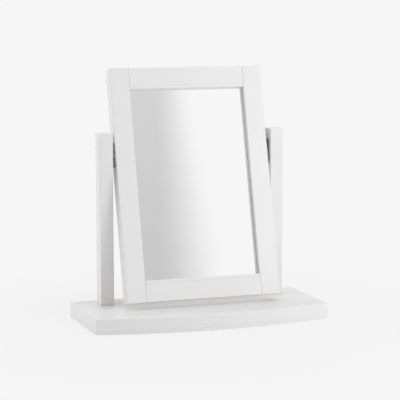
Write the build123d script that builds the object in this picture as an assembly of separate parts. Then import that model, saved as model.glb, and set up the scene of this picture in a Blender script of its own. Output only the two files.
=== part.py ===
from build123d import *
import os
from math import cos, radians

# A dressing table mirror: a framed glass that tilts between two posts on a bow-fronted base board.
# Millimetres. Z is up, the glass faces -Y, and the origin is under the middle of the whole mirror.

# Base board
base_w = 600.0  # width over all
base_side_d = 230.0  # depth of the straight sides
base_bow = 42.0  # how far the front edge curves out past its corners
base_t = 38.0  # thickness
base_top_r = 2.0  # rounded top edge
base_line_up = 7.5  # fine line cut round its edge, above the bottom
base_line_v = 1.2  # depth of that line, a V cut

# Posts
post_w = 34.0  # across
post_d = 38.0  # front to back
post_h = 426.0  # above the base
post_back = 38.0  # from the back edge of the base to the post
post_edge_r = 2.0  # eased edges
post_foot_v = 0.8  # bevel round the foot

# Mirror frame
frame_w = 400.0
frame_h = 582.0
frame_t = 34.0
stile_w = 49.0  # width of an upright member
rail_h = 53.0  # height of a cross member
frame_edge_r = 1.8  # eased outer edges
rail_line_in = 7.0  # fine line along a rail's face, from the edge next to the glass
rail_line_v = 0.8  # depth of that line, a V cut
joint_v = 1.6  # depth of the V groove where a rail meets a stile
lip_d = 15.5  # how far the glass lies behind the frame's face
lip_relief_w = 4.0  # relief cut behind a stile's lip, so that it meets the glass in shade
lip_relief_d = 2.7  # height of that relief above the glass
rebate_w = 9.0  # how far the lip covers the edge of the glass
back_ledge_w = 8.0  # ledge outside the rebate that the backing board is screwed to
back_ledge_d = 3.5  # depth of that ledge below the frame's back

# Pivot, and how the frame hangs on it
pivot_h = 369.5  # pivot above the base
foot_gap = 3.0  # frame above the base when it is upright
side_gap = 8.0  # between the frame and a post
rest_lean = 14.0  # degrees the frame leans back in the stored pose

# Glass and what holds it
glass_t = 4.0
glass_clear = 1.0  # all round, in the rebate
bead_w = 8.6
bead_clear = 0.2  # end gaps and the gap to the rebate's wall
backing_t = 3.0
backing_clear = 0.5  # all round, on its ledge

# Pivot hardware
plate_l = 60.0
plate_w = 18.0
plate_t = 2.0
plate_corner_r = 4.0
plate_screw_pitch = 46.0
pin_r = 3.0
pin_tip = 1.5  # thread that shows past the nut
pin_head_r = 6.0
pin_head_h = 2.5
pin_chamfer = 0.5
friction_washer_r = 8.0
friction_washer_t = 1.0
spring_washer_r = 9.0
spring_washer_metal = 1.2
spring_washer_land = 1.5  # flat ring at its inner and its outer edge
nut_across = 10.0  # across the flats
nut_h = 5.0
nut_collar_h = 1.5
nut_collar_r = 4.2
nut_chamfer = 0.5

# Screws, bolts and dowels
screw_rim = 0.3  # upright edge of a countersunk head
screw_tip = 3.0  # length of the point
screw_cross_l = 4.0  # the driver's cross
screw_cross_w = 0.9
screw_cross_d = 1.2
plate_screw_r = 1.75
plate_screw_l = 16.0
plate_screw_head_r = 3.4
board_screw_r = 1.5
board_screw_l = 14.0
board_screw_head_r = 2.8
board_screws_per_stile = 3
board_screws_per_rail = 2
dowel_r = 4.0
frame_dowel_l = 50.0
frame_dowel_pitch = 18.0
post_dowel_l = 40.0
post_dowel_pitch = 24.0
bolt_r = 3.0
bolt_l = 45.0  # under the head
bolt_head_r = 5.0
bolt_head_h = 6.0
bolt_key = 5.0  # hexagon key size
bolt_key_d = 3.0
bolt_edge_r = 0.6  # rounded rim of the head
bolt_chamfer = 0.6
bolt_washer_r = 7.0
bolt_washer_t = 1.5
bolt_well_r = 8.5
bolt_well_d = 14.0  # depth of the well that hides the bolt head
insert_r = 5.0
insert_core_r = 4.4
insert_l = 20.0
insert_ring = 1.4  # width of one of its outer rings
insert_rings = 4

# Felt pads under the base
pad_r = 11.0
pad_t = 1.5
pad_in = 32.0  # from the edges of the base to a pad's middle

# Clearances
run_fit = 0.05  # round a turning pin, and beside the turning plates
snug_fit = 0.05  # round what is pressed, glued or screwed in
thread_fit = 0.1  # round the bolt in its insert, and the pin in its nut
hole_fit = 0.2  # round a shank in a washer or a plain hole
end_room = 1.0  # spare depth at the end of a blind hole
pocket_room = 1.2  # round a nut or a head in its pocket
cut_past = 1.0  # how far a cutting shape runs past the face it opens

# Places that follow from the sizes
base_top = pad_t + base_t
post_in_x = frame_w / 2 + side_gap
post_mid_x = post_in_x + post_w / 2
post_mid_y = -post_back - post_d / 2
pivot_z = base_top + pivot_h
frame_below = pivot_h - foot_gap
frame_above = frame_h - frame_below
sight_w = frame_w - 2 * stile_w
sight_low = -frame_below + rail_h
sight_high = frame_above - rail_h
face_y = -frame_t / 2
glass_y = face_y + lip_d
bead_y = glass_y + glass_t
ledge_y = frame_t / 2 - back_ledge_d
ledge_w = rebate_w + back_ledge_w
nut_corner_r = nut_across / 2 / cos(radians(30))

SIDES = {"left": -1, "right": 1}


def block(x_range, y_range, z_range):
    """A box from its low and high corner values."""
    sizes = [abs(high - low) for low, high in (x_range, y_range, z_range)]
    middles = [(high + low) / 2 for low, high in (x_range, y_range, z_range)]
    return Pos(*middles) * Box(*sizes)


def rod(radius, start, direction, length):
    """A round bar that starts at a point."""
    where = Plane(origin=start, z_dir=direction)
    bar = Cylinder(radius, length, align=(Align.CENTER, Align.CENTER, Align.MIN))
    return where.location * bar


def hexagon(across, height):
    """A hexagonal bar on the XY plane."""
    return extrude(RegularPolygon(across / 2, 6, major_radius=False), height)


def spun(points):
    """A solid turned round Z from its half outline of (radius, height) points."""
    outline = Polyline(*[(radius, 0, height) for radius, height in points], close=True)
    return revolve(make_face(outline), Axis.Z)


def screw_body(radius, length, head_r, grow=0.0, above=0.0):
    """A countersunk screw pointing down, its head's top on the XY plane."""
    wide = head_r + grow
    core = radius + grow
    end = length + grow
    points = [(0, above), (wide, above), (wide, -screw_rim), (core, -screw_rim - (wide - core))]
    points += [(core, -end + screw_tip), (0, -end)]
    return spun(points)


def wood_screw(radius, length, head_r):
    """A countersunk screw with a driver's cross in its head."""
    arm = Box(screw_cross_l, screw_cross_w, 2 * screw_cross_d)
    cross = arm + Rot(0, 0, 90) * arm
    return screw_body(radius, length, head_r) - cross


def screw_hole(radius, length, head_r):
    """The countersunk hole that such a screw leaves."""
    return screw_body(radius, length, head_r, snug_fit, cut_past)


def on_hinge(side):
    """Turns a piece modelled along +Z so that it runs from the frame's side out to a post."""
    return Plane(origin=(side * frame_w / 2, 0, 0), x_dir=(0, side, 0), z_dir=(side, 0, 0)).location


hang = Pos(0, post_mid_y, pivot_z)  # from the pivot's own place, upright
tilt = hang * Rot(-rest_lean, 0, 0)  # the same, leaning back with the frame


plate_screw_size = (plate_screw_r, plate_screw_l, plate_screw_head_r)
board_screw_size = (board_screw_r, board_screw_l, board_screw_head_r)


def on_post_plate(side, shape):
    """A shape at each of the two screw places of the plate on a post, pointing into the post."""
    face = hang * on_hinge(side) * Pos(0, 0, side_gap - plate_t) * Rot(180, 0, 0)
    return [face * Pos(0, end * plate_screw_pitch / 2, 0) * shape for end in SIDES.values()]


def on_frame_plate(side, shape):
    """The same for the plate on a stile, pointing into the stile; before the lean."""
    face = on_hinge(side) * Pos(0, 0, plate_t)
    return [face * Pos(0, end * plate_screw_pitch / 2, 0) * shape for end in SIDES.values()]


def on_backing(shape):
    """A shape at each screw place round the backing board, pointing forward; before the lean."""
    out = rebate_w + back_ledge_w / 2
    x = sight_w / 2 + out
    middle = (sight_low + sight_high) / 2
    reach_z = (sight_high - sight_low) / 2 - ledge_w
    reach_x = sight_w / 2 - ledge_w
    places = []
    for number in range(board_screws_per_stile):
        share = 2 * number / (board_screws_per_stile - 1) - 1
        places += [(-x, middle + share * reach_z), (x, middle + share * reach_z)]
    for number in range(board_screws_per_rail):
        share = 2 * (number + 0.5) / board_screws_per_rail - 1
        places += [(share * reach_x, sight_low - out), (share * reach_x, sight_high + out)]
    back_face = ledge_y + backing_t
    return [Pos(px, back_face, pz) * Rot(-90, 0, 0) * shape for px, pz in places]


def frame_dowel_places():
    """The (x, z) middle of each dowel where a rail meets a stile, before the lean."""
    solid_h = rail_h - rebate_w
    offsets = [solid_h / 2 - frame_dowel_pitch / 2, solid_h / 2 + frame_dowel_pitch / 2]
    heights = [-frame_below + offset for offset in offsets]
    heights += [frame_above - offset for offset in offsets]
    return [(side * sight_w / 2, height) for side in SIDES.values() for height in heights]


def frame_dowel_rods(radius, length):
    """A rod at each frame dowel's place."""
    rods = []
    for x, z in frame_dowel_places():
        rods.append(rod(radius, (x - length / 2, 0, z), (1, 0, 0), length))
    return rods


def post_dowel_rods(side, radius, length):
    """The two dowels that keep a post from turning on its bolt."""
    start_z = base_top - length / 2
    rods = []
    for shift in (-post_dowel_pitch / 2, post_dowel_pitch / 2):
        start = (side * post_mid_x, post_mid_y + shift, start_z)
        rods.append(rod(radius, start, (0, 0, 1), length))
    return rods


def bow_slab(low, high):
    """A layer of the base board between two heights."""
    half, corner = base_w / 2, -base_side_d
    back = Line((-half, 0), (half, 0))
    right = Line((half, 0), (half, corner))
    front = ThreePointArc((half, corner), (0, corner - base_bow), (-half, corner))
    left = Line((-half, corner), (-half, 0))
    return Pos(0, 0, low) * extrude(make_face([back, right, front, left]), high - low)


def make_base_board():
    """The bow-fronted board that everything stands on, with a fine line round its edge."""
    under, over = bow_slab(0, base_line_up), bow_slab(base_line_up, base_t)
    under = chamfer(under.edges().group_by(Axis.Z)[-1], base_line_v)
    over = chamfer(over.edges().group_by(Axis.Z)[0], base_line_v)
    over = fillet(over.edges().group_by(Axis.Z)[-1], base_top_r)
    board = Pos(0, 0, pad_t) * (under + over)
    for side in SIDES.values():
        x, low = side * post_mid_x, pad_t - cut_past
        board -= rod(bolt_r + hole_fit, (x, post_mid_y, low), (0, 0, 1), base_t + 2 * cut_past)
        board -= rod(bolt_well_r, (x, post_mid_y, low), (0, 0, 1), bolt_well_d + cut_past)
        for hole in post_dowel_rods(side, dowel_r + snug_fit, post_dowel_l + 2 * end_room):
            board -= hole
    return board


def make_post(side):
    """One square post, bored for its bolt, dowels, plate screws and the head of its pivot pin."""
    x_range = sorted((side * post_in_x, side * (post_in_x + post_w)))
    y_range = (-post_back - post_d, -post_back)
    post = block(x_range, y_range, (base_top, base_top + post_h))
    eased = post.edges().filter_by(Axis.Z) + post.edges().group_by(Axis.Z)[-1]
    post = fillet(eased, post_edge_r)
    post = chamfer(post.edges().group_by(Axis.Z)[0], post_foot_v)
    foot = (side * post_mid_x, post_mid_y, base_top - cut_past)
    post -= rod(insert_r + snug_fit, foot, (0, 0, 1), insert_l + end_room + cut_past)
    bolt_reach = bolt_l - bolt_washer_t - (base_t - bolt_well_d) + end_room
    post -= rod(bolt_r + hole_fit, foot, (0, 0, 1), bolt_reach + cut_past)
    for hole in post_dowel_rods(side, dowel_r + snug_fit, post_dowel_l + 2 * end_room):
        post -= hole
    head_pocket = Cylinder(pin_head_r + pocket_room, pin_head_h + end_room + cut_past,
                           align=(Align.CENTER, Align.CENTER, Align.MIN))
    post -= hang * on_hinge(side) * Pos(0, 0, side_gap - cut_past) * head_pocket
    for hole in on_post_plate(side, screw_hole(*plate_screw_size)):
        post -= hole
    return post


def joint_grooves():
    """A square bar on edge along the front of each joint between a rail and a stile."""
    bar = Rot(0, 0, 45) * Box(2**0.5 * joint_v, 2**0.5 * joint_v, rail_h + cut_past)
    grooves = []
    for side in SIDES.values():
        grooves.append(Pos(side * sight_w / 2, face_y, sight_high + (rail_h + cut_past) / 2) * bar)
        grooves.append(Pos(side * sight_w / 2, face_y, sight_low - (rail_h + cut_past) / 2) * bar)
    return grooves


def rail_lines():
    """A square bar on edge along the fine line of each rail."""
    bar = Rot(45, 0, 0) * Box(sight_w + 2 * cut_past, 2**0.5 * rail_line_v, 2**0.5 * rail_line_v)
    return [Pos(0, face_y, z) * bar for z in (sight_high + rail_line_in, sight_low - rail_line_in)]


def frame_cuts(sides):
    """What is taken out of the members of the frame: rebate, ledge, relief, grooves, pockets and holes."""
    rebate_x = sight_w / 2 + rebate_w
    ledge_x = sight_w / 2 + ledge_w
    back = frame_t / 2 + cut_past
    cuts = [block((-rebate_x, rebate_x), (glass_y, back), (sight_low - rebate_w, sight_high + rebate_w))]
    cuts.append(block((-ledge_x, ledge_x), (ledge_y, back), (sight_low - ledge_w, sight_high + ledge_w)))
    cuts += frame_dowel_rods(dowel_r + snug_fit, frame_dowel_l + 2 * end_room)
    cuts += on_backing(screw_hole(*board_screw_size)) + joint_grooves()
    relief_y = (glass_y - lip_relief_d, glass_y + cut_past)
    depth = run_fit + nut_h + nut_collar_h + pin_tip + end_room
    for side in sides:
        relief_x = sorted((side * (sight_w / 2 - cut_past), side * (sight_w / 2 + lip_relief_w)))
        cuts.append(block(relief_x, relief_y, (sight_low, sight_high)))
        pocket = Cylinder(nut_corner_r + pocket_room, depth + cut_past,
                          align=(Align.CENTER, Align.CENTER, Align.MAX))
        cuts.append(on_hinge(side) * Pos(0, 0, cut_past) * pocket)
        cuts += on_frame_plate(side, screw_hole(*plate_screw_size))
    return cuts


def make_stile(side):
    """One upright of the frame, as long as the frame is high."""
    x_range = sorted((side * sight_w / 2, side * frame_w / 2))
    stile = block(x_range, (face_y, frame_t / 2), (-frame_below, frame_above))
    outside = stile.faces().sort_by(Axis.X)[-1 if side > 0 else 0]
    stile = fillet(outside.edges(), frame_edge_r)
    for cut in frame_cuts([side]):
        stile -= cut
    return stile


def make_rail(top):
    """One cross member, between the stiles."""
    z_range = (sight_high, frame_above) if top else (-frame_below, sight_low)
    rail = block((-sight_w / 2, sight_w / 2), (face_y, frame_t / 2), z_range)
    outer = rail.faces().sort_by(Axis.Z)[-1 if top else 0]
    rail = fillet(outer.edges().filter_by(Axis.X), frame_edge_r)
    for cut in frame_cuts([]) + rail_lines():
        rail -= cut
    return rail


def make_glass():
    """The sheet of mirror glass, lying against the lip."""
    reach = rebate_w - glass_clear
    x = sight_w / 2 + reach
    return block((-x, x), (glass_y, glass_y + glass_t), (sight_low - reach, sight_high + reach))


def make_beads():
    """Four square strips that hold the glass against the lip."""
    wall = rebate_w - bead_clear
    x_out, x_in = sight_w / 2 + wall, sight_w / 2 + wall - bead_w
    depth = (bead_y, ledge_y)
    low, high = sight_low - wall, sight_high + wall
    uprights = (low + bead_w + bead_clear, high - bead_w - bead_clear)
    return {
        "bead_top": block((-x_out, x_out), depth, (high - bead_w, high)),
        "bead_bottom": block((-x_out, x_out), depth, (low, low + bead_w)),
        "bead_left": block((-x_out, -x_in), depth, uprights),
        "bead_right": block((x_in, x_out), depth, uprights),
    }


def make_backing_board():
    """The thin board screwed over the back of the glass."""
    reach = ledge_w - backing_clear
    x = sight_w / 2 + reach
    board = block((-x, x), (ledge_y, ledge_y + backing_t), (sight_low - reach, sight_high + reach))
    for hole in on_backing(screw_hole(*board_screw_size)):
        board -= hole
    return board


def make_pivot_plate(hole_r):
    """A steel plate on the XY plane with a pivot hole and two plain screw holes."""
    plate = extrude(RectangleRounded(plate_w, plate_l, plate_corner_r), plate_t)
    return plate - Pos(0, 0, plate_t / 2) * Cylinder(hole_r, plate_t + 2 * cut_past)


def make_post_plate(side):
    """The plate screwed to a post, holding the pivot pin."""
    plate = hang * on_hinge(side) * Pos(0, 0, side_gap - plate_t) * make_pivot_plate(pin_r + snug_fit)
    for hole in on_post_plate(side, screw_hole(*plate_screw_size)):
        plate -= hole
    return plate


def make_frame_plate(side):
    """The plate screwed to a stile, turning on the pivot pin; before the lean."""
    plate = on_hinge(side) * make_pivot_plate(pin_r + run_fit)
    for hole in on_frame_plate(side, screw_hole(*plate_screw_size)):
        plate -= hole
    return plate


def make_pivot_pin(side):
    """The pin that the frame hangs on, its head behind the post's plate."""
    low = -run_fit - nut_h - nut_collar_h - pin_tip
    high = side_gap + pin_head_h
    pin = spun([(0, low), (pin_r - pin_chamfer, low), (pin_r, low + pin_chamfer), (pin_r, side_gap),
                (pin_head_r, side_gap), (pin_head_r, high - pin_chamfer),
                (pin_head_r - pin_chamfer, high), (0, high)])
    return hang * on_hinge(side) * pin


def make_friction_washer(side):
    """The flat washer that rubs on the turning plate."""
    ring = Cylinder(friction_washer_r, friction_washer_t, align=(Align.CENTER, Align.CENTER, Align.MIN))
    ring -= Cylinder(pin_r + hole_fit, 2 * (friction_washer_t + cut_past))
    return hang * on_hinge(side) * Pos(0, 0, plate_t + run_fit) * ring


def make_spring_washer(side):
    """The dished washer that presses the friction washer on."""
    low = plate_t + run_fit + friction_washer_t
    high = side_gap - plate_t
    bore = pin_r + hole_fit
    dish = spun([(bore, high - spring_washer_metal), (bore, high), (bore + spring_washer_land, high),
                 (spring_washer_r, low + spring_washer_metal), (spring_washer_r, low),
                 (spring_washer_r - spring_washer_land, low)])
    return hang * on_hinge(side) * dish


def make_pivot_nut(side):
    """The lock nut on the pin, in a pocket of the stile."""
    rounded = spun([(0, 0), (nut_across / 2, 0), (nut_corner_r, nut_chamfer),
                    (nut_corner_r, nut_h), (0, nut_h)])
    nut = hexagon(nut_across, nut_h) & rounded
    nut += rod(nut_collar_r, (0, 0, nut_h), (0, 0, 1), nut_collar_h)
    nut -= Cylinder(pin_r + thread_fit, 2 * (nut_h + nut_collar_h + cut_past))
    return hang * on_hinge(side) * Pos(0, 0, -run_fit) * Rot(180, 0, 0) * nut


def make_base_bolt(side):
    """The bolt that draws a post down on the base."""
    seat = pad_t + bolt_well_d - bolt_washer_t
    head = Pos(0, 0, -bolt_head_h) * Cylinder(bolt_head_r, bolt_head_h,
                                              align=(Align.CENTER, Align.CENTER, Align.MIN))
    head = fillet(head.edges().sort_by(Axis.Z)[0], bolt_edge_r)
    head -= Pos(0, 0, -bolt_head_h - cut_past) * hexagon(bolt_key, bolt_key_d + cut_past)
    shank = Cylinder(bolt_r, bolt_l, align=(Align.CENTER, Align.CENTER, Align.MIN))
    shank = chamfer(shank.edges().sort_by(Axis.Z)[-1], bolt_chamfer)
    return Pos(side * post_mid_x, post_mid_y, seat) * (head + shank)


def make_bolt_washer(side):
    """The washer under a base bolt's head."""
    ring = Cylinder(bolt_washer_r, bolt_washer_t, align=(Align.CENTER, Align.CENTER, Align.MAX))
    ring -= Cylinder(bolt_r + hole_fit, 2 * (bolt_washer_t + cut_past))
    return Pos(side * post_mid_x, post_mid_y, pad_t + bolt_well_d) * ring


def make_insert(side):
    """The ringed sleeve in a post's foot that the bolt screws into."""
    sleeve = Cylinder(insert_core_r, insert_l, align=(Align.CENTER, Align.CENTER, Align.MIN))
    step = (insert_l - insert_ring) / (insert_rings - 1)
    for number in range(insert_rings):
        ring = Cylinder(insert_r, insert_ring, align=(Align.CENTER, Align.CENTER, Align.MIN))
        sleeve += Pos(0, 0, number * step) * ring
    sleeve -= Cylinder(bolt_r + thread_fit, 2 * (insert_l + cut_past))
    return Pos(side * post_mid_x, post_mid_y, base_top) * sleeve


def make_pads():
    """Four felt discs that the base stands on."""
    x = base_w / 2 - pad_in
    disc = Cylinder(pad_r, pad_t, align=(Align.CENTER, Align.CENTER, Align.MIN))
    return [Pos(side * x, y, 0) * disc for side in SIDES.values() for y in (-pad_in, -base_side_d + pad_in)]


def group(shapes, move=Location()):
    """Separate solids kept side by side in one named part, each moved to its place."""
    return Compound([move * solid for shape in shapes for solid in shape.solids()])


def both(make):
    """The same small piece on each side, as one part."""
    return group([make(side) for side in SIDES.values()])


plate_screw = wood_screw(*plate_screw_size)
board_screw = wood_screw(*board_screw_size)

# Everything that stands still, with the back edge of the base at y = 0
pieces = {
    "base_board": make_base_board(),
    "pivot_nuts": both(make_pivot_nut),
    "friction_washers": both(make_friction_washer),
    "spring_washers": both(make_spring_washer),
    "post_plate_screws": group(on_post_plate(-1, plate_screw) + on_post_plate(1, plate_screw)),
    "base_bolts": both(make_base_bolt),
    "bolt_washers": both(make_bolt_washer),
    "post_inserts": both(make_insert),
    "post_dowels": group(post_dowel_rods(-1, dowel_r, post_dowel_l)
                         + post_dowel_rods(1, dowel_r, post_dowel_l)),
    "felt_pads": group(make_pads()),
}
for name, side in SIDES.items():
    pieces["post_" + name] = make_post(side)
    pieces["post_plate_" + name] = make_post_plate(side)
    pieces["pivot_pin_" + name] = make_pivot_pin(side)

# The mirror that tilts, modelled upright round the pivot and then leaned back
hung = {
    "rail_top": make_rail(True),
    "rail_bottom": make_rail(False),
    "mirror_glass": make_glass(),
    "backing_board": make_backing_board(),
    "backing_screws": group(on_backing(board_screw)),
    "frame_dowels": group(frame_dowel_rods(dowel_r, frame_dowel_l)),
    "frame_plate_screws": group(on_frame_plate(-1, plate_screw) + on_frame_plate(1, plate_screw)),
    **make_beads(),
}
for name, side in SIDES.items():
    hung["stile_" + name] = make_stile(side)
    hung["frame_plate_" + name] = make_frame_plate(side)
pieces.update({name: group([piece], tilt) for name, piece in hung.items()})

# The origin goes under the middle of the whole mirror
box = group(pieces.values()).bounding_box()
to_origin = Pos(-box.center().X, -box.center().Y, -box.min.Z)

os.makedirs("parts", exist_ok=True)
for name, piece in pieces.items():
    export_step(group([piece], to_origin), "parts/" + name + ".step")

pivot = to_origin * tilt
foot_corner = to_origin * tilt * Pos(0, frame_t / 2, -frame_below)
print("pieces", len(pieces))
print("size", [round(value, 3) for value in (box.size.X, box.size.Y, box.size.Z)])
print("pivot", [round(value, 3) for value in pivot.position])
print("frame's lowest edge above the base", round(foot_corner.position.Z - base_top, 2))
print("pads at", [[round(value, 3) for value in (to_origin * pad).center()] for pad in make_pads()])
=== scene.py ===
# %% [markdown]
# # A white dressing table mirror
# The real thing is painted wood: a thick base board with a bowed front, two square posts, and a framed
# glass that tilts between them on steel pivots. All of its solids come ready made from the imported model,
# so this lesson is about finishes, light and the camera. The first cell loads the solids.

# %% Load the solids
from math import cos, pi, radians, sin

import bmesh
import bpy
from mathutils import Matrix, Vector


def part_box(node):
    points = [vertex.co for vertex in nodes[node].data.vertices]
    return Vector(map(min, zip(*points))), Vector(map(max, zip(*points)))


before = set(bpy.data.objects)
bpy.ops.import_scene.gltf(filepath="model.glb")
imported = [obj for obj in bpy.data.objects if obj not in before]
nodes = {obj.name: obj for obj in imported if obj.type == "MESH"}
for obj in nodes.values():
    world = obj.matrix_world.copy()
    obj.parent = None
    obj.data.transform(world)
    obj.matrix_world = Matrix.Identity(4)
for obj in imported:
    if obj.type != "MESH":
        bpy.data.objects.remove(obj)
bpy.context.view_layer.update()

# %% [markdown]
# ## Where the camera stands
# The photograph was taken a little from the mirror's left and from slightly above, with a long lens: its
# upright lines hardly come together. A camera could be placed by eye, but edges drift by a few pixels that
# way. These angles came from fitting the corners of the solids to the same corners in the picture. Three
# directions follow from them: ahead, and the picture's own right and up.

# %% The way the camera looks
stands_to_left = radians(19.68)  # round from straight in front of the mirror
looking_down = radians(7.27)
rolled = radians(-0.11)

ahead = Vector((
    sin(stands_to_left) * cos(looking_down),
    cos(stands_to_left) * cos(looking_down),
    -sin(looking_down),
))
level_right = ahead.cross(Vector((0, 0, 1))).normalized()
level_up = level_right.cross(ahead)
right = cos(rolled) * level_right + sin(rolled) * level_up
up = cos(rolled) * level_up - sin(rolled) * level_right
print("ahead is", [round(v, 3) for v in ahead])

# %% [markdown]
# ## The camera itself
# A camera's own axes are its right, its up and the way behind it, so those three make up its rotation. It
# could be turned by three angles instead, but their order is easy to get wrong. The focal length was found
# in pixels of the picture. Blender wants millimetres on a sensor, so it is worked out for a sensor as wide
# as a film frame.

# %% Make the camera
focus = Vector((0.045, 0.1302, 0.281))  # the point in the middle of the picture
distance = 4.0845  # metres from the camera to that point
picture_px = 400
focal_px = 1598.9
sensor_mm = 36

camera_data = bpy.data.cameras.new("camera")
camera_data.sensor_width = sensor_mm
camera_data.lens = focal_px / picture_px * sensor_mm
camera = bpy.data.objects.new("camera", camera_data)
rotation = Matrix((right, up, -ahead)).transposed().to_4x4()
camera.matrix_world = Matrix.Translation(focus - distance * ahead) @ rotation
bpy.context.scene.collection.objects.link(camera)
bpy.context.scene.camera = camera
print("camera", [round(v, 3) for v in camera.location], "lens", round(camera_data.lens, 1))

# %% [markdown]
# ## Mirror glass
# A mirror is glass with silver behind it. Modelling both layers costs many light bounces and shows almost
# nothing more from the front, so the sheet gets one metal-like surface. It is the plainest finish here, so
# it comes first, with the two helpers that every finish uses: one starts a material, and the other puts it
# on solids.

# %% Silver the glass
def finish(name):
    """A new material, its node tree and its Principled shader."""
    material = bpy.data.materials.new(name)
    material.use_nodes = True
    return material, material.node_tree, material.node_tree.nodes["Principled BSDF"]


def give(material, names):
    """Puts one material on CAD nodes in place of what they came with."""
    for name in names:
        nodes[name].data.materials.clear()
        nodes[name].data.materials.append(material)
    print(material.name, "on", ", ".join(names))


silver, tree, shader = finish("mirror_silver")
shader.inputs["Metallic"].default_value = 1.0
give(silver, ["mirror_glass"])

# %% [markdown]
# ## A hint of haze
# No sheet of glass is perfect: a faint haze lies on it, a little stronger here and there. A picture of haze
# could be laid over it, but noise that the material works out needs no picture and stays sharp up close.
# Its coordinates are fixed to the object and measured in metres, so every pattern in this lesson has the
# size of the real one. The helpers add a node, make noise, and bring its usual range to the one wanted.

# %% Haze on the glass
clear_glass = 0.008
hazy_glass = 0.02
usual_low = 0.3  # most values of a noise lie between these two
usual_high = 0.7


def node(tree, kind, settings=None, **sockets):
    """Adds a node; a socket is given a number, a colour or another node's output."""
    made = tree.nodes.new("ShaderNode" + kind)
    for key, value in (settings or {}).items():
        setattr(made, key, value)
    for key, value in sockets.items():
        socket = made.inputs[key.replace("_", " ")]
        if isinstance(value, bpy.types.NodeSocket):
            tree.links.new(value, socket)
        else:
            socket.default_value = value
    return made


def speckle(tree, size, turn=(0, 0, 0), detail=2.0):
    """Noise whose features have the given size in metres, along axes that can be turned."""
    place = node(tree, "TexCoord").outputs["Object"]
    fitted = node(tree, "Mapping", {"vector_type": "TEXTURE"}, Vector=place, Rotation=turn, Scale=size)
    return node(tree, "TexNoise", Vector=fitted.outputs["Vector"], Scale=1.0, Detail=detail).outputs["Fac"]


def spread(tree, value, low=0.0, high=1.0):
    """Maps the usual range of a noise onto the range that a finish needs."""
    return node(tree, "MapRange", Value=value, From_Min=usual_low, From_Max=usual_high,
                To_Min=low, To_Max=high).outputs["Result"]


haze = spread(tree, speckle(tree, (0.05, 0.05, 0.08), detail=4.0), clear_glass, hazy_glass)
tree.links.new(haze, shader.inputs["Roughness"])
print("roughness of the glass", clear_glass, "to", hazy_glass)

# %% [markdown]
# ## The tint of the silver
# Silver is almost neutral, with a trace less blue. One plain colour would nearly do, but a sheet with no
# change at all looks drawn, so two close colours are mixed by soft patches of noise. The same helper mixes
# the colours of all the finishes that follow.

# %% Tint the glass
dim_silver = (0.932, 0.932, 0.929)
bright_silver = (0.942, 0.942, 0.939)
first_colour = 6  # a Mix node keeps its colours after its numbers and vectors, so they go by number
second_colour = 7
mixed_colour = 2


def between(tree, share, colour_a, colour_b):
    """A colour between two others."""
    mixed = node(tree, "Mix", {"data_type": "RGBA"}, Factor=share)
    mixed.inputs[first_colour].default_value = (*colour_a, 1)
    mixed.inputs[second_colour].default_value = (*colour_b, 1)
    return mixed.outputs[mixed_colour]


patches = spread(tree, speckle(tree, (0.12, 0.12, 0.12)))
tree.links.new(between(tree, patches, dim_silver, bright_silver), shader.inputs["Base Color"])
print("silver between", dim_silver, "and", bright_silver)

# %% [markdown]
# ## White satin paint
# The wood is sprayed with a satin white. A flat white would look like plastic, because real paint shows
# three faint things: the grain beneath it, long and narrow along each piece, the tiny dimples that a spray
# gun leaves, and cloudy changes in shade and sheen. The grain and the dimples could be modelled, but they
# are hundredths of a millimetre deep, so bump in the material is enough. The paint is new and has no wear.

# %% The recipe of the paint
dim_white = (0.843, 0.837, 0.836)
bright_white = (0.867, 0.861, 0.860)
glossiest_paint = 0.36
dullest_paint = 0.44
grain_size = (0.0016, 0.0016, 0.045)  # fine across the wood and long with it
grain_depth = 0.00004
dimple_size = (0.0022, 0.0022, 0.0022)
dimple_depth = 0.00002


def relief(tree, height, depth, under=None):
    """A bump of the given depth in metres, on top of another if one is given."""
    bump = node(tree, "Bump", Height=height, Distance=depth)
    if under:
        tree.links.new(under, bump.inputs["Normal"])
    return bump.outputs["Normal"]


def white_paint(name, turn):
    """Satin white over wood whose grain runs along the turned Z axis."""
    material, tree, shader = finish(name)
    clouds = spread(tree, speckle(tree, (0.09, 0.09, 0.22), turn))
    tree.links.new(between(tree, clouds, dim_white, bright_white), shader.inputs["Base Color"])
    sheen = spread(tree, speckle(tree, (0.03, 0.03, 0.08), turn), glossiest_paint, dullest_paint)
    tree.links.new(sheen, shader.inputs["Roughness"])
    grain = relief(tree, speckle(tree, grain_size, turn, detail=3.0), grain_depth)
    dimples = relief(tree, speckle(tree, dimple_size, turn, detail=1.0), dimple_depth, under=grain)
    tree.links.new(dimples, shader.inputs["Normal"])
    return material


print("paint: grain", grain_depth, "m deep, dimples", dimple_depth, "m deep")

# %% [markdown]
# ## Which way the wood runs
# The grain follows the wood: up in the posts, up and back in the leaning frame's stiles, and from side to
# side in the base and the rails. One material for them all would be shorter, but its grain would cross
# some of the pieces. So the recipe is used three times, each turned to the length of its pieces.

# %% Paint the wood
lean = radians(14)  # the frame leans back by this much
upright = (0, 0, 0)
leaning = (-lean, 0, 0)
across = (0, pi / 2, 0)

give(white_paint("white_paint_upright", upright), ["post_left", "post_right"])
give(white_paint("white_paint_leaning", leaning), ["stile_left", "stile_right"])
give(white_paint("white_paint_across", across), ["base_board", "rail_top", "rail_bottom"])

# %% [markdown]
# ## Metal parts
# The pivots are dull nickel plated steel, and the bolts, nuts and back screws are zinc plated. Both could
# be one plain grey metal, but plating is never even: its colour and its sheen are cloudy, and its skin has
# a fine tooth that blurs what it mirrors. What sets the two apart is how dark and how rough they are.

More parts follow.
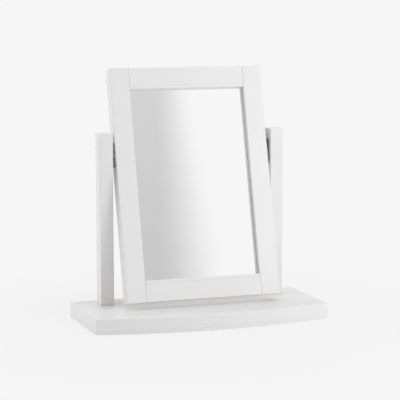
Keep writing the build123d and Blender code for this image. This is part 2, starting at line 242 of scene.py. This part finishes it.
# %% Plate the metal parts
def plated_metal(name, dark, light, smooth, rough, tooth_depth):
    """A metal with cloudy colour and sheen and a fine tooth."""
    material, tree, shader = finish(name)
    shader.inputs["Metallic"].default_value = 1.0
    clouds = speckle(tree, (0.006, 0.006, 0.006), detail=3.0)
    tree.links.new(between(tree, spread(tree, clouds), dark, light), shader.inputs["Base Color"])
    tree.links.new(spread(tree, clouds, low=smooth, high=rough), shader.inputs["Roughness"])
    tooth = speckle(tree, (0.0005, 0.0005, 0.004))
    tree.links.new(relief(tree, tooth, depth=tooth_depth), shader.inputs["Normal"])
    return material


nickel = plated_metal("nickel_plating", dark=(0.27, 0.266, 0.258), light=(0.47, 0.464, 0.452),
                      smooth=0.3, rough=0.5, tooth_depth=0.00002)
give(nickel, ["post_plate_left", "post_plate_right", "frame_plate_left", "frame_plate_right"])
give(nickel, ["pivot_pin_left", "pivot_pin_right", "post_plate_screws", "frame_plate_screws"])
zinc = plated_metal("zinc_plating", dark=(0.52, 0.53, 0.55), light=(0.66, 0.67, 0.69),
                    smooth=0.28, rough=0.42, tooth_depth=0.00001)
give(zinc, ["spring_washers", "pivot_nuts", "base_bolts", "bolt_washers", "post_inserts"])
give(zinc, ["backing_screws"])

# %% [markdown]
# ## Bare pine and beech
# The beads that hold the glass are pine and the dowels in the joints are beech, planed and left bare. A
# single brown would look like plastic. Wood shows its rings as lines along its length, so the noise is
# drawn out along each piece, and the dark lines are also rougher and lie a little lower.

# %% Cut the bare wood
pine_dark = (0.56, 0.38, 0.20)
pine_light = (0.76, 0.60, 0.40)
pine_ring = 0.002
beech_dark = (0.56, 0.39, 0.25)
beech_light = (0.70, 0.53, 0.37)
beech_ring = 0.001
drawn_out = 40  # how much longer a ring is with the wood than across it


def bare_wood(name, dark, light, ring, turn):
    """Planed wood whose rings run along the turned Z axis."""
    material, tree, shader = finish(name)
    rings = speckle(tree, (ring, ring, ring * drawn_out), turn, detail=4.0)
    tree.links.new(between(tree, spread(tree, rings), dark, light), shader.inputs["Base Color"])
    tree.links.new(spread(tree, rings, low=0.75, high=0.6), shader.inputs["Roughness"])
    tree.links.new(relief(tree, rings, depth=0.00006), shader.inputs["Normal"])
    return material


give(bare_wood("pine_across", pine_dark, pine_light, pine_ring, across), ["bead_top", "bead_bottom"])
give(bare_wood("pine_leaning", pine_dark, pine_light, pine_ring, leaning), ["bead_left", "bead_right"])
give(bare_wood("beech_across", beech_dark, beech_light, beech_ring, across), ["frame_dowels"])
give(bare_wood("beech_upright", beech_dark, beech_light, beech_ring, upright), ["post_dowels"])

# %% [markdown]
# ## Hardboard
# Behind the glass lies a sheet of brown hardboard, pressed from fibres. Each could be a curve, but there are
# thousands, too fine to tell apart. Round grains of noise would look like sand, so they are drawn out into
# short fibres. Wide darker patches, multiplied over them, break up the brown as on a real board.

# %% Press the backing board
fibre_size = (0.0009, 0.0009, 0.0025)
fibre_turn = (-lean, 0, 0.6)  # back with the frame, and radians round the upright axis
dark_fibre = (0.20, 0.115, 0.06)
light_fibre = (0.33, 0.205, 0.115)
patch_shade = (0.85, 0.85, 0.85)
patch_clear = (1, 1, 1)

hardboard, tree, shader = finish("pressed_board")
fibres = speckle(tree, fibre_size, fibre_turn, detail=4.0)
patches = speckle(tree, (0.03, 0.03, 0.03), detail=3.0)
brown = between(tree, spread(tree, fibres), dark_fibre, light_fibre)
shade = between(tree, spread(tree, patches), patch_shade, patch_clear)
shaded_brown = node(tree, "Mix", {"data_type": "RGBA", "blend_type": "MULTIPLY"}, Factor=1.0)
tree.links.new(brown, shaded_brown.inputs[first_colour])
tree.links.new(shade, shaded_brown.inputs[second_colour])
tree.links.new(shaded_brown.outputs[mixed_colour], shader.inputs["Base Color"])
tree.links.new(spread(tree, fibres, low=0.6, high=0.78), shader.inputs["Roughness"])
tree.links.new(relief(tree, fibres, depth=0.0001), shader.inputs["Normal"])
give(hardboard, ["backing_board"])

# %% [markdown]
# ## Nylon washers
# The washers that rub in the pivots are nylon, a waxy off-white. Light goes a little way into real nylon,
# which the shader could work out, but on a thin washer that is shut in a gap nobody would see it. Soft
# clouds in an ordinary surface give the same look and cost less.

# %% Turn the friction washers
nylon, tree, shader = finish("washer_nylon")
clouds = speckle(tree, (0.004, 0.004, 0.004))
waxy_white = between(tree, clouds, (0.78, 0.76, 0.70), (0.85, 0.83, 0.78))
tree.links.new(waxy_white, shader.inputs["Base Color"])
tree.links.new(spread(tree, clouds, low=0.42, high=0.52), shader.inputs["Roughness"])
give(nylon, ["friction_washers"])

# %% [markdown]
# ## Felt pads
# The pads under the base are dark grey felt. Its fibres could be grown as hair, but they are short and the
# pads lie in the shade of the board. Fine noise stands for them, and the shader's sheen gives the light
# that loose fibres catch at the rim.

# %% Cut the felt
felt, tree, shader = finish("pad_felt")
fluff = speckle(tree, (0.0006, 0.0006, 0.0004), detail=4.0)
grey = between(tree, spread(tree, fluff), (0.13, 0.13, 0.14), (0.24, 0.24, 0.25))
tree.links.new(grey, shader.inputs["Base Color"])
shader.inputs["Roughness"].default_value = 0.95
shader.inputs["Sheen Weight"].default_value = 0.6
tree.links.new(relief(tree, fluff, depth=0.0003), shader.inputs["Normal"])
give(felt, ["felt_pads"])

# %% [markdown]
# ## What is seen and what lights
# The photograph has one flat pale background. Lamps never light a floor that evenly, and a world as bright
# as the background would wash out the soft shades on the white paint. So floor and world have two faces:
# one that is seen, and one that lights the object. The Light Path node tells what a ray of light is for,
# and its answers, 1 or 0, are added and multiplied.

# %% Tell seeing from lighting
backdrop = 0.9216  # the photograph's background, as a linear value
room_light = 0.529  # what lights the object from all round


def arithmetic(tree, operation, first, second, at_most_one=False):
    """The sum or the product of two outputs."""
    made = node(tree, "Math", {"operation": operation, "use_clamp": at_most_one})
    tree.links.new(first, made.inputs[0])
    tree.links.new(second, made.inputs[1])
    return made.outputs[0]


def seen_directly(tree, after_bounce=0.5):
    """1 for what the camera sees, itself or in a mirror or glass, and 0 for light that bounces. Light that
    the mirror throws on to another surface, so that a dull bounce comes first, has after_bounce."""
    path = node(tree, "LightPath").outputs
    seen = arithmetic(tree, "ADD", path["Is Camera Ray"], path["Is Glossy Ray"])
    seen = arithmetic(tree, "ADD", seen, path["Is Transmission Ray"], at_most_one=True)
    kept = node(tree, "MapRange", Value=path["Diffuse Depth"], From_Min=0, From_Max=1,
                To_Min=1, To_Max=after_bounce)
    return arithmetic(tree, "MULTIPLY", seen, kept.outputs["Result"])


print("background", backdrop, "room light", room_light)

# %% [markdown]
# ## The floor
# The mirror stands on pale paper whose edge the picture doesn't show. A studio bends the paper up into a
# wall. Here a flat disc does, so wide that its edge is out of sight, with no bend to hide.

# %% Lay the floor
floor_radius = 60
floor_sides = 96

floor_mesh = bpy.data.meshes.new("floor")
shape = bmesh.new()
bmesh.ops.create_circle(shape, cap_ends=True, segments=floor_sides, radius=floor_radius)
shape.to_mesh(floor_mesh)
shape.free()
floor = bpy.data.objects.new("floor", floor_mesh)
bpy.context.scene.collection.objects.link(floor)
print("floor", 2 * floor_radius, "m across")

# %% [markdown]
# ## The paper's two faces
# Round the object the eye sees part of the lit paper, with the faint shade under the base. Further out it
# turns into plain glow in the background's colour, so no line shows where the floor ends. A lit floor alone
# would darken away from the lamps. The light that bounces up from the paper onto the object stays as it is.
# The glow is for the eye only, so it isn't sampled as a lamp, which would add noise elsewhere.

# %% Cover the floor
paper_white = (0.93, 0.93, 0.93, 1)
plain_white = (1, 1, 1, 1)
fade_start = 0.25  # metres from the middle
fade_end = 0.9
glow_share = 0.78  # the share of glow nearer than the start of the fade


def glow(tree, strength):
    """A surface that glows plain white."""
    return node(tree, "Emission", Color=plain_white, Strength=strength).outputs["Emission"]


def either(tree, share, shader_a, shader_b):
    """The first shader where the share is 0, the second where it is 1."""
    mixed = node(tree, "MixShader", Fac=share)
    tree.links.new(shader_a, mixed.inputs[1])
    tree.links.new(shader_b, mixed.inputs[2])
    return mixed.outputs["Shader"]


paper, tree, shader = finish("floor_paper")
shader.inputs["Base Color"].default_value = paper_white
shader.inputs["Roughness"].default_value = 0.9
shader.inputs["Specular IOR Level"].default_value = 0.0
place = node(tree, "TexCoord").outputs["Object"]
away = node(tree, "VectorMath", {"operation": "LENGTH"}, Vector=place).outputs["Value"]
fade = node(tree, "MapRange", {"interpolation_type": "SMOOTHSTEP"}, Value=away,
            From_Min=fade_start, From_Max=fade_end, To_Min=glow_share, To_Max=1.0).outputs["Result"]
share = arithmetic(tree, "MULTIPLY", fade, seen_directly(tree, after_bounce=1.0))
surface = either(tree, share, shader.outputs["BSDF"], glow(tree, backdrop))
tree.links.new(surface, tree.nodes["Material Output"].inputs["Surface"])
paper.cycles.emission_sampling = "NONE"
floor_mesh.materials.append(paper)
print("paper fades to plain from", fade_start, "to", fade_end, "m")

# %% [markdown]
# ## The room round it
# A studio's walls give back a soft light from every side. They could be built, but the world does it with
# two plain backgrounds: a dimmer one that lights the object, and the pale one that is seen. Both are the
# same all round, so no side of the mirror stands in the dark.

# %% The world
world = bpy.data.worlds.new("studio")
world.use_nodes = True
bpy.context.scene.world = world
tree = world.node_tree
around = tree.nodes["Background"]
around.inputs["Color"].default_value = plain_white
around.inputs["Strength"].default_value = room_light
behind = node(tree, "Background", Color=plain_white, Strength=backdrop)
surface = either(tree, seen_directly(tree), around.outputs["Background"], behind.outputs["Background"])
tree.links.new(surface, tree.nodes["World Output"].inputs["Surface"])
print("world", world.name, "lights with", room_light, "and shows", backdrop)

# %% [markdown]
# ## Lamps
# The light in the photograph is soft and comes mostly from the front right: the right end of the base is
# brighter than the left, and the frame shades the foot of the left post. Small lamps would throw hard
# shadows that it doesn't show, so these are squares over a metre wide. Their strengths were set by
# comparing flat places of the paint with the same places in the picture.

# %% Soft lamps
middle = Vector((0, 0, 0.3))  # about the middle of the whole mirror


def soft_lamp(name, direction, away_m, size_m, watts):
    """A square lamp that faces the middle of the mirror from a direction."""
    data = bpy.data.lights.new(name, "AREA")
    data.size = size_m
    data.energy = watts
    lamp = bpy.data.objects.new(name, data)
    lamp.location = middle + Vector(direction).normalized() * away_m
    lamp.rotation_euler = (middle - lamp.location).to_track_quat("-Z", "Y").to_euler()
    bpy.context.scene.collection.objects.link(lamp)
    print(name, watts, "W at", [round(v, 2) for v in lamp.location])


soft_lamp("lamp_front_right", (0.65, -0.72, 0.27), away_m=2.2, size_m=1.2, watts=15.6)
soft_lamp("lamp_left", (-0.85, 0.5, 0.3), away_m=2.4, size_m=1.4, watts=14.4)
soft_lamp("lamp_above", (0.1, -0.1, 1.0), away_m=2.2, size_m=1.6, watts=9.95)
soft_lamp("lamp_behind", (0.1, 0.6, 0.8), away_m=2.2, size_m=1.4, watts=4.1)

# %% [markdown]
# ## What the mirror shows
# A mirror only shows what stands in front of it. In the photograph that is soft grey on the left that turns
# to white, over a wider and wider band towards the bottom: the side of a studio panel. It could be painted
# on the glass, but it would stay there from every side. So a real panel stands where the mirror looks, and
# this step finds that place: the line of sight, bounced off the leaning glass.

# %% Where the mirror looks
glass_middle = sum(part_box("mirror_glass"), Vector()) / 2
facing = Vector((0, -cos(lean), sin(lean)))
sight = (glass_middle - camera.location).normalized()
bounced = sight - 2 * sight.dot(facing) * facing
print("the mirror looks towards", [round(v, 2) for v in bounced])

# %% [markdown]
# ## The panel
# A studio panel is a large sheet on a stand. Only its picture in the glass is wanted here, so one flat
# face, square to the bounced line, is enough. It is hidden from the camera itself, gives the paint no light
# and throws no shade, so it acts in reflections only.

# %% Stand the panel up
panel_away = 1.6
panel_width = 1.4
panel_height = 1.6
half_a_metre = 0.5  # a grid's size is half its side, so this one is 1 m wide before it is scaled

panel_mesh = bpy.data.meshes.new("reflected_panel")
shape = bmesh.new()
bmesh.ops.create_grid(shape, x_segments=1, y_segments=1, size=half_a_metre)
bmesh.ops.scale(shape, vec=(panel_width, panel_height, 1), verts=shape.verts)
shape.to_mesh(panel_mesh)
shape.free()
panel = bpy.data.objects.new("reflected_panel", panel_mesh)
panel.location = glass_middle + bounced * panel_away
panel.rotation_euler = bounced.to_track_quat("-Z", "Y").to_euler()
bpy.context.scene.collection.objects.link(panel)
panel.visible_camera = False
panel.visible_diffuse = False
panel.visible_shadow = False
panel.visible_transmission = False
print("panel at", [round(v, 2) for v in panel.location])

# %% [markdown]
# ## Grey that turns to white
# The panel's tone changes across it, lower down over a wider band and to a darker grey. A picture could
# hold that. Here a smooth step does, whose two ends and grey are each given at two heights and change
# evenly between them. A reflection swaps left and right, so the panel's X runs to the left in the glass.

# %% The panel's tones
high = 0.244  # two heights on the panel, from its middle
low = -0.289
white_to = {high: -0.054, low: -0.075}  # how far across the white reaches
grey_from = {high: 0.101, low: 0.184}  # and where the grey begins
grey_at = {high: 0.685, low: 0.615}
panel_white = 0.983


def by_height(tree, height, values):
    """What is given at the two heights, changing evenly up the panel."""
    return node(tree, "MapRange", {"clamp": False}, Value=height, From_Min=low, From_Max=high,
                To_Min=values[low], To_Max=values[high]).outputs["Result"]


panel_tones = bpy.data.materials.new("panel_edge")
panel_tones.use_nodes = True
tree = panel_tones.node_tree
place = node(tree, "SeparateXYZ", Vector=node(tree, "TexCoord").outputs["Object"]).outputs
white_end = by_height(tree, place["Y"], white_to)
grey_end = by_height(tree, place["Y"], grey_from)
grey = by_height(tree, place["Y"], grey_at)
tone = node(tree, "MapRange", {"interpolation_type": "SMOOTHSTEP"}, Value=place["X"],
            From_Min=white_end, From_Max=grey_end, To_Min=panel_white, To_Max=grey).outputs["Result"]
shown = node(tree, "Mix", {"data_type": "FLOAT"}, Factor=seen_directly(tree), A=room_light, B=tone)
tree.links.new(glow(tree, shown.outputs["Result"]), tree.nodes["Material Output"].inputs["Surface"])
panel_tones.cycles.emission_sampling = "NONE"
panel_mesh.materials.append(panel_tones)
print("panel white", panel_white, "to grey", grey_at[high], "high up and", grey_at[low], "low down")

# %% [markdown]
# ## Last steps
# The Standard view shows colours about as they are written, which a white object needs.

# %% Finish
bpy.context.scene.view_settings.view_transform = "Standard"
